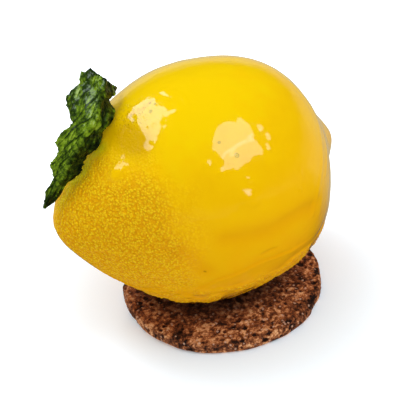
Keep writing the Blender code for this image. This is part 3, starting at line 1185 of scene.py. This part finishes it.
@dataclass
class Biscuit:
    """The thin round cocoa biscuit under the lemon."""

    radius: float = 0.0258
    thickness: float = 0.0036
    edge: float = 0.0011
    columns: int = 540
    lump_mm: float = 0.16
    dust_mm: float = 0.09
    wave_mm: float = 0.1
    pit_mm: float = 0.48
    crack_mm: float = 0.13
    chip_mm: float = 0.45
    skin_mm: float = 0.12

    def section(self) -> tuple[Array, Array, Array]:
        """Half of its cross-section: out along the underside, up the rounded rim and in over the top.

        Returns:
            Radii, heights, and how much each ring may be broken up by crumbs.
        """
        span = self.radius - self.edge
        under_r = np.linspace(0.08, 1.0, 10) * span
        low = np.linspace(-0.5 * math.pi, 0.0, 7)[1:]
        high = np.linspace(0.0, 0.5 * math.pi, 7)
        side_z = np.linspace(self.edge, self.thickness - self.edge, 7)[1:-1]
        top_r = np.linspace(1.0, 0.012, 84)[1:] * span
        radii = [under_r, span + self.edge * np.cos(low), np.full(len(side_z), self.radius)]
        radii += [span + self.edge * np.cos(high), top_r]
        heights = [np.zeros(len(under_r)), self.edge * (1.0 + np.sin(low)), side_z]
        heights += [self.thickness - self.edge * (1.0 - np.sin(high)), np.full(len(top_r), self.thickness)]
        rise = np.concatenate(heights)
        return np.concatenate(radii), rise, ease(rise, 0.0, 0.0007)

    def build(self, lemon: Lemon) -> Item:
        """Makes and dresses the biscuit; crumbs stand out and pits sink along the normals.

        Args:
            lemon: the body that stands on it, and whose painted shadow darkens it where they nearly meet.

        Returns:
            The piece.
        """
        radii, heights, broken = self.section()
        turn = np.linspace(0.0, TAU, self.columns, endpoint=False)
        wander = 0.5 * np.sin(5.0 * turn + 0.6) + 0.3 * np.sin(11.0 * turn + 2.1) + 0.2 * np.sin(17.0 * turn)
        rim = 1.0 + 0.0003 * wander / self.radius
        r = radii[:, None] * rim[None, :]
        z = np.repeat(heights[:, None], self.columns, axis=1)
        grid = joined(r * np.cos(turn), r * np.sin(turn), z)
        normal = outward(grid, True)
        near, beyond, own = crumbs(grid, 0.00165, 41)
        fine, _, fine_own = crumbs(grid, 0.0007, 42)
        lump = unit(1.0 - 1.5 * near ** 2) * own
        pit = ease(own, 0.74, 0.9) * ease(near, 0.62, 0.25)
        gap = ease(beyond - near, 0.14, 0.0)
        dust = unit(1.0 - 1.6 * fine ** 2) * fine_own
        height = self.lump_mm * lump + self.dust_mm * dust + self.wave_mm * rolling(grid, 0.003, 43)
        height = height - self.pit_mm * pit - self.crack_mm * gap - self.skin_mm
        on_rim = ease(np.hypot(grid[..., 0], grid[..., 1]), self.radius - 0.0022, self.radius - 0.0002)
        chipped = ease(rolling(grid, 0.0042, 44), 0.25, 0.75) * on_rim
        height = height - self.chip_mm * chipped
        shown = unit(0.5 + height / 0.8)
        grid = grid + normal * (MM * height * broken[:, None])[..., None]
        grid[..., 2] = np.maximum(grid[..., 2], 0.0)
        biscuit = capped_tube("cocoa_biscuit_round", grid, np.zeros(3), grid[-1].mean(axis=0))
        # Crumb tone: random crumb colour plus painted shade, darker where the crumb sinks and in the pits.
        tone = 0.62 * shown + 0.38 * (0.5 * own + 0.5 * fine_own) * (1.0 - pit)
        paint(biscuit, "crumb", np.concatenate([tone.ravel(), [0.5, 0.5]]))
        # A painted shadow under the lemon, by how near its underside comes.
        px, pr = lemon.profile(np.linspace(0.0, math.pi, 400))
        under = np.interp(grid[..., 0] - lemon.centre[0], px, pr) ** 2 - (grid[..., 1] - lemon.centre[1]) ** 2
        gap = lemon.axis_height - np.sqrt(np.maximum(under, 0.0)) - grid[..., 2]
        covered = ease(gap, 0.0095, 0.002)
        paint(biscuit, "covered", np.concatenate([covered.ravel(), [0.0, 1.0]]))
        biscuit.data.materials.append(BiscuitFinish().material())
        return biscuit


# ---- the stage

PANEL_COLOUR: Colour = (0.78, 0.86, 1.0)
TUBE_REACH = 0.014
TUBE_FADE = 0.008


@dataclass(frozen=True)
class SoftBox:
    """One studio lamp: a flat glowing panel that faces a point, with an optional brighter tube across it.

    way and distance say where it hangs from the target, corners its outline in centimetres, and tube the
    height of the tube on it, in metres, and how much brighter it is.
    """

    name: str
    target: Place
    way: Place
    distance: float
    corners: tuple[tuple[float, float], ...]
    glow: float
    tube: tuple[float, float] = (0.0, 0.0)

    def build(self) -> None:
        """Hangs the panel along its way from the target."""
        way = Vector(self.way).normalized()
        across = Vector((0.0, 0.0, 1.0)).cross(way).normalized()
        turn = Matrix((across, way.cross(across), way)).transposed().to_4x4()
        flat = np.array([(u, v, 0.0) for u, v in self.corners]) * 0.01
        count = len(flat)
        fan = joined(np.zeros(count - 2, int), np.arange(1, count - 1), np.arange(2, count))
        panel = new_mesh(self.name, flat, fan)
        panel.matrix_world = Matrix.Translation(Vector(self.target) + way * self.distance) @ turn
        mix = Mixer(self.name)
        strength: Any = self.glow
        if self.tube[1]:
            near = mix.off(mix.axis("Y"), self.tube[0])
            strength = self.glow * (1.0 + (TUBE_REACH - near).step(0.0, TUBE_FADE) * self.tube[1])
        panel.data.materials.append(mix.close(mix.glow(strength, PANEL_COLOUR)))
        panel.visible_camera = False


@dataclass(frozen=True)
class Key:
    """A lamp that shapes the object with light and shadow but shows in no reflection."""

    name: str
    way: Place
    distance: float
    size: float
    power: float

    def build(self) -> None:
        """Hangs the lamp along its way from the middle of the object."""
        lamp = bpy.data.lights.new(self.name, "AREA")
        lamp.size = self.size
        lamp.energy = self.power
        item = bpy.data.objects.new(self.name, lamp)
        bpy.context.scene.collection.objects.link(item)
        way = Vector(self.way).normalized()
        turn = way.to_track_quat("Z", "Y").to_matrix().to_4x4()
        item.matrix_world = Matrix.Translation(Vector((0.0, 0.0, 0.03)) + way * self.distance) @ turn
        item.visible_camera = False
        item.visible_glossy = False


@dataclass(frozen=True)
class Stage:
    """The white table, the soft light and the camera."""

    azimuth: float = -22.3
    elevation: float = 37.917
    roll: float = 5.335
    distance: float = 0.62
    lens: float = 220.04
    aim: Place = (-0.003571, 0.001478, 0.030015)
    floor_size: float = 6.0
    paper: Colour = (0.84, 0.92, 0.965)
    warm_table: Colour = (1.0, 0.84, 0.52)
    warm_room: Colour = (1.0, 0.9, 0.66)
    dome_grey: Colour = (0.8, 0.8, 0.8)
    bounce: float = 1.2
    back_key: Key = Key("key_back", (-0.34, 0.53, 0.78), 0.4, 0.12, 0.26)
    front_key: Key = Key("key_front", (0.37, -0.5, 0.78), 0.36, 0.14, 0.18)
    back_box: SoftBox = SoftBox(
        "soft_box_back",
        (-0.0141, 0.0005, 0.0614),
        (-0.3396, 0.5306, 0.7766),
        0.52,
        ((14.0, 0.0), (10.0, -6.0), (5.0, -9.0), (-6.0, -20.0), (-15.0, -24.0), (-20.0, -17.0),
         (-20.0, -10.0), (-13.0, -2.0), (-7.0, 10.0), (5.0, 14.0), (13.0, 9.0), (23.0, 8.0), (21.0, 3.0)),
        4.2,
    )
    front_box: SoftBox = SoftBox(
        "soft_box_front",
        (0.0006, -0.0156, 0.0562),
        (0.3714, -0.5074, 0.7776),
        0.46,
        ((-8.5, -5.0), (-11.0, -15.0), (-8.5, -13.5), (-1.5, -11.0), (5.5, -13.0), (8.5, -9.5), (10.0, -2.0),
         (14.5, 8.5), (15.5, 16.0), (10.5, 19.0), (-2.0, 14.5), (-7.5, 7.5)),
        3.3,
        (-0.01, 0.8),
    )

    def floor(self) -> None:
        """A wide whitish table, a little self-lit so that it stays white far from the lamps; near the object
        its self-light is weaker, a painted shadow round it.

        To bounced light it is white, and in mirror reflections it is a dim warm one that brightens behind
        the object and to its right.
        """
        square = np.array([[-0.5, -0.5, 0.0], [0.5, -0.5, 0.0], [0.5, 0.5, 0.0], [-0.5, 0.5, 0.0]])
        table = new_mesh("white_table", self.floor_size * square, np.array([[0, 1, 2, 3]]))
        mix = Mixer("white_table")
        paper = mix.add("BsdfDiffuse", {"Color": self.paper})
        # The self-light is weaker near the object: a painted shadow round it.
        lit = mix.glow(0.12 + mix.distance((0.0, 0.0, 0.0)).step(0.025, 0.09) * 0.72)
        seen = mix.add("AddShader", {0: paper, 1: lit})
        x, y = mix.axis("X"), mix.axis("Y")
        behind = (x * 0.38 + y * 0.92).step(0.0, 0.036)
        beyond = (x * 0.86 + y * 0.5).step(0.045, 0.15)
        mirrored = mix.glow(0.02 + behind * 0.48 + beyond * 0.14, self.warm_table)
        seen = mix.where_ray("Diffuse", mix.glow(self.bounce), seen)
        table.data.materials.append(mix.close(mix.where_ray("Glossy", mirrored, seen)))

    def air(self) -> None:
        """White light from all round for the shadows; mirrors see a dark room with a bright warm horizon."""
        world = bpy.data.worlds.new("studio_air")
        mix = Mixer("studio_air", world)
        where = mix.add("TexCoord", output="Generated")
        height = mix.axis("Z", where)
        right = mix.axis("X", where) * 0.86 + mix.axis("Y", where) * 0.5
        dome = mix.sky(0.8 + height.step(0.0, 1.0) * 0.12, self.dome_grey)
        low = 1.0 - height.step(0.0, 0.24)
        room = mix.sky(0.012 + low * (0.18 + right.step(0.5, 1.0) * 0.22), self.warm_room)
        white = mix.sky(1.0, (1.0, 1.0, 1.0))
        unseen = mix.where_ray("Glossy", room, dome)
        bpy.context.scene.world = mix.close(mix.where_ray("Camera", white, unseen))

    def camera(self) -> None:
        """The camera: a long lens at the stated azimuth, elevation and roll, aimed at one point."""
        a, e, roll = (math.radians(v) for v in (self.azimuth, self.elevation, self.roll))
        back = Vector((math.sin(a) * math.cos(e), -math.cos(a) * math.cos(e), math.sin(e)))
        right = Vector((math.cos(a), math.sin(a), 0.0))
        up = back.cross(right)
        tilted_right = right * math.cos(roll) - up * math.sin(roll)
        tilted_up = right * math.sin(roll) + up * math.cos(roll)
        data = bpy.data.cameras.new("camera")
        data.lens = self.lens
        data.sensor_width = 36.0
        data.clip_start, data.clip_end = 0.01, 20.0
        item = bpy.data.objects.new("camera", data)
        bpy.context.scene.collection.objects.link(item)
        turn = Matrix((tilted_right, tilted_up, back)).transposed().to_4x4()
        item.matrix_world = Matrix.Translation(Vector(self.aim) + back * self.distance) @ turn
        bpy.context.scene.camera = item

    def build(self) -> None:
        """Sets up everything that is not the object."""
        self.floor()
        self.air()
        for lamp in (self.back_key, self.front_key, self.back_box, self.front_box):
            lamp.build()
        self.camera()
        bpy.context.scene.view_settings.view_transform = "Standard"


# ---- putting it together


def settle(piece: Item, node: str) -> None:
    """Fixes a finished piece to the frame in place of its CAD solid.

    Args:
        piece: the new piece.
        node: the CAD solid that it stands for.
    """
    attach(piece, "root")
    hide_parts(node)
    log.info("%s: %d points, stands for %s", piece.name, len(piece.data.vertices), node)


def main() -> None:
    """Builds the stage and the three pieces, in order."""
    Stage().build()
    lemon, leaf = Lemon(), MintLeaf()
    settle(lemon.build(leaf.lower_margin()), "lemon_body")
    settle(leaf.build(lemon), "leaf")
    settle(Biscuit().build(lemon), "biscuit_base")


if __name__ == "__main__":
    main()
